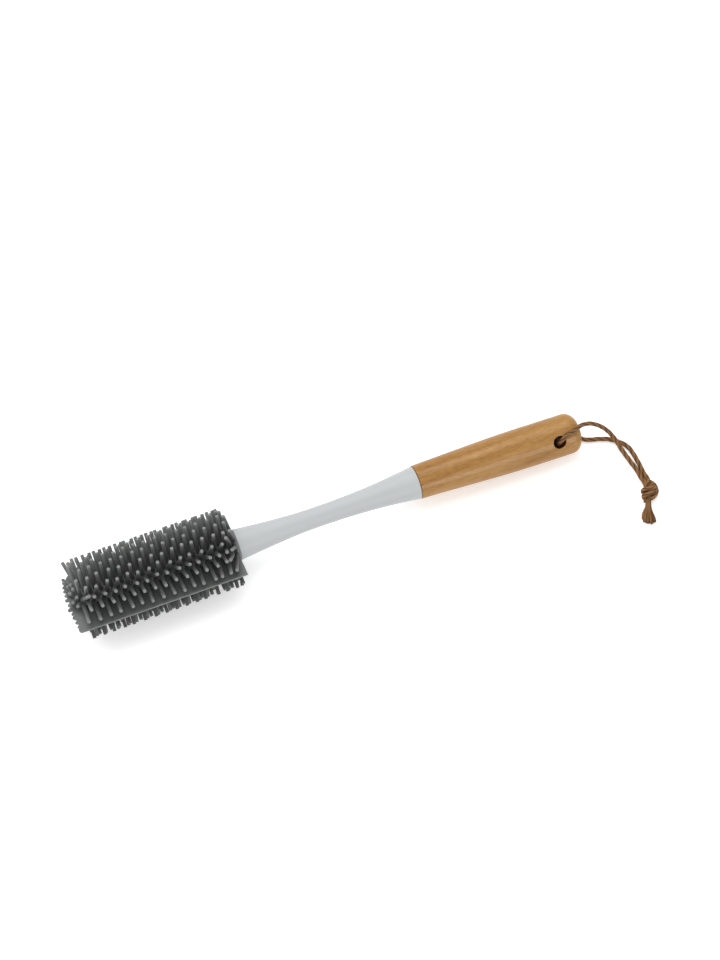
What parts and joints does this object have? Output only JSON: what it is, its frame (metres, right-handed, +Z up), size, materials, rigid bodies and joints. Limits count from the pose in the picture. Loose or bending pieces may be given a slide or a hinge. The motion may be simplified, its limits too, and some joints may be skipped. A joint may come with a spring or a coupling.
{
  "type": "bottle brush",
  "caption": "Bottle brush: soft silicone head with rows of bristles and flat wiper fins, waisted plastic neck, turned wooden grip and a knotted hanging cord.",
  "frame": {"origin": "on the table, under the middle of the brush's box without its cord", "axes": "+X from the tip of the head to the butt of the grip, +Z up, -Y the side on which the cord's knot lies"},
  "size_m": [0.351, 0.0941, 0.05],
  "materials": {
    "silicone": "matt moulded silicone, grey",
    "neck_plastic": "satin moulded polypropylene, pale grey",
    "grip_wood": "turned hardwood, oiled",
    "cord_cotton": "waxed twisted cotton, brown"
  },
  "bodies": {
    "root": {"bristles_upper_near": "silicone", "bristles_upper_far": "silicone", "bristles_lower_far": "silicone", "bristles_lower_near": "silicone", "wiper_fin_near": "silicone", "wiper_fin_far": "silicone", "head_tip": "silicone", "head_collar": "silicone", "neck": "neck_plastic", "grip": "grip_wood", "cord_near": "cord_cotton", "cord_far": "cord_cotton", "cord_knot": "cord_cotton", "cord_tail_near": "cord_cotton", "cord_tail_far": "cord_cotton"}
  },
  "joints": []
}
